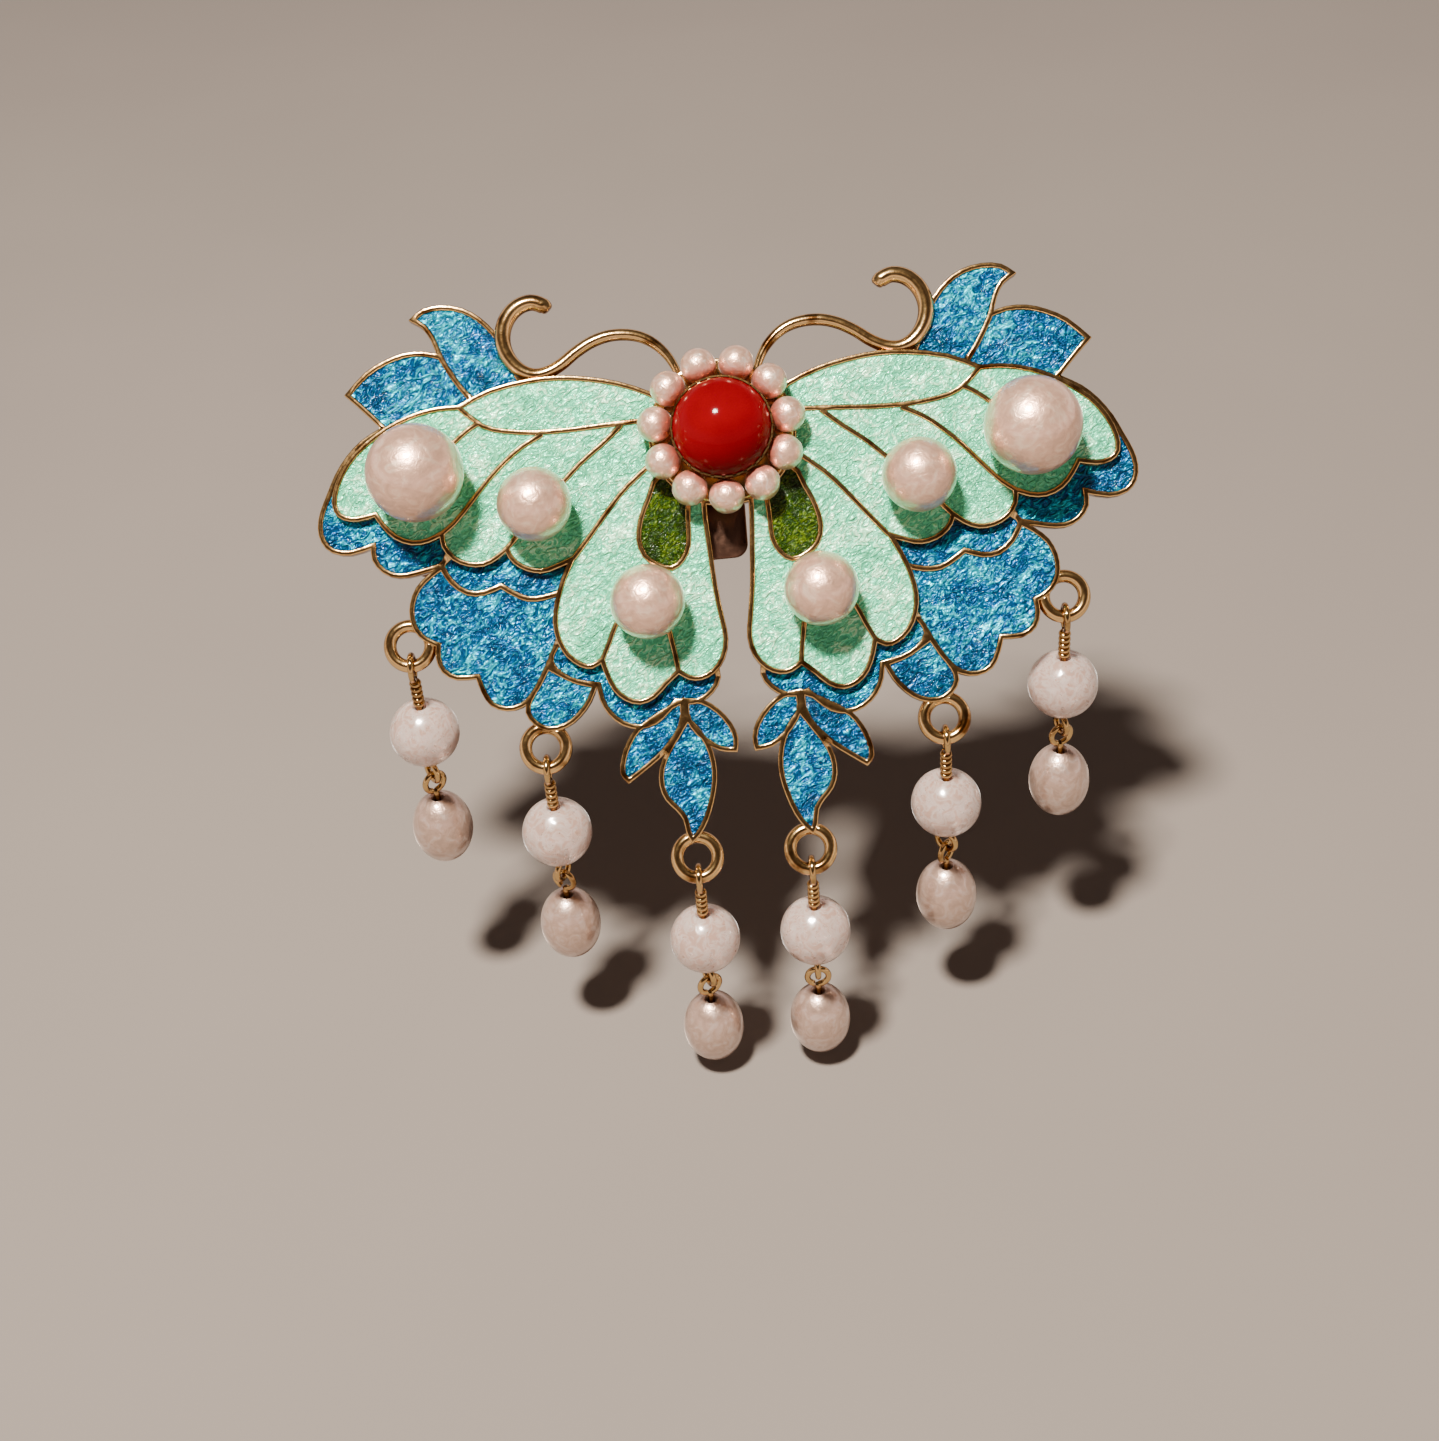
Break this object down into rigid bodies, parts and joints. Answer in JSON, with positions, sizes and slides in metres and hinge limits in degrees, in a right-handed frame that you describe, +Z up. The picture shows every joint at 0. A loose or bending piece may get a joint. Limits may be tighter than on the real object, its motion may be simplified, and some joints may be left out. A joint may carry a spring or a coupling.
{
  "type": "butterfly duckbill hair clip",
  "caption": "Butterfly hair ornament with enamelled wings, domed stone flower, pearls and hanging bead drops, gripping hair with a sprung duckbill clip behind the wings.",
  "frame": {"origin": "between the closed jaws of the clip, on the butterfly's centre line, where hair is gripped", "axes": "+Z up as worn, +X along the wingspan towards the clip's tip, -Y out of the wings' face, which leans back by forty degrees"},
  "size_m": [0.0712, 0.0365, 0.0628],
  "materials": {
    "gold_metal": "polished",
    "gold_wire": "polished",
    "clip_metal": "satin",
    "spring_steel": "satin",
    "aqua_enamel": "gloss over foil",
    "blue_enamel": "gloss over foil",
    "green_enamel": "gloss over foil",
    "pearl": "pearl lustre",
    "round_bead": "milky gloss",
    "oval_bead": "frosted pearl",
    "red_stone": "polished dome"
  },
  "bodies": {
    "ornament": {"wing_plate": "gold_metal", "aqua_enamel_left": "aqua_enamel", "blue_enamel_left": "blue_enamel", "green_enamel_left": "green_enamel", "pearl_outer_left": "pearl", "pearl_middle_left": "pearl", "pearl_lower_left": "pearl", "aqua_enamel_right": "aqua_enamel", "blue_enamel_right": "blue_enamel", "green_enamel_right": "green_enamel", "pearl_outer_right": "pearl", "pearl_middle_right": "pearl", "pearl_lower_right": "pearl", "flower_cup": "gold_metal", "red_stone": "red_stone", "petal_pearl_1": "pearl", "petal_pearl_2": "pearl", "petal_pearl_3": "pearl", "petal_pearl_4": "pearl", "petal_pearl_5": "pearl", "petal_pearl_6": "pearl", "petal_pearl_7": "pearl", "petal_pearl_8": "pearl", "petal_pearl_9": "pearl", "petal_pearl_10": "pearl", "petal_pearl_11": "pearl", "eye_pin_1": "gold_wire", "round_bead_1": "round_bead", "drop_pin_1": "gold_wire", "oval_bead_1": "oval_bead", "eye_pin_2": "gold_wire", "round_bead_2": "round_bead", "drop_pin_2": "gold_wire", "oval_bead_2": "oval_bead", "eye_pin_3": "gold_wire", "round_bead_3": "round_bead", "drop_pin_3": "gold_wire", "oval_bead_3": "oval_bead", "eye_pin_4": "gold_wire", "round_bead_4": "round_bead", "drop_pin_4": "gold_wire", "oval_bead_4": "oval_bead", "eye_pin_5": "gold_wire", "round_bead_5": "round_bead", "drop_pin_5": "gold_wire", "oval_bead_5": "oval_bead", "eye_pin_6": "gold_wire", "round_bead_6": "round_bead", "drop_pin_6": "gold_wire", "oval_bead_6": "oval_bead", "clip_upper_jaw": "clip_metal", "hinge_pin": "clip_metal", "spring": "spring_steel"},
    "lower_jaw": {"clip_lower_jaw": "clip_metal", "spring_leg": "spring_steel"}
  },
  "joints": [
    {"name": "jaw_hinge", "type": "hinge", "parent": "ornament", "child": "lower_jaw", "pos_m": [-0.0175, 0.00103, -0.00087], "axis": [0, 0.6428, 0.766], "range_deg": [0, 25], "stiffness_Nm_per_rad": 0.012, "springref_deg": -28.65}
  ]
}
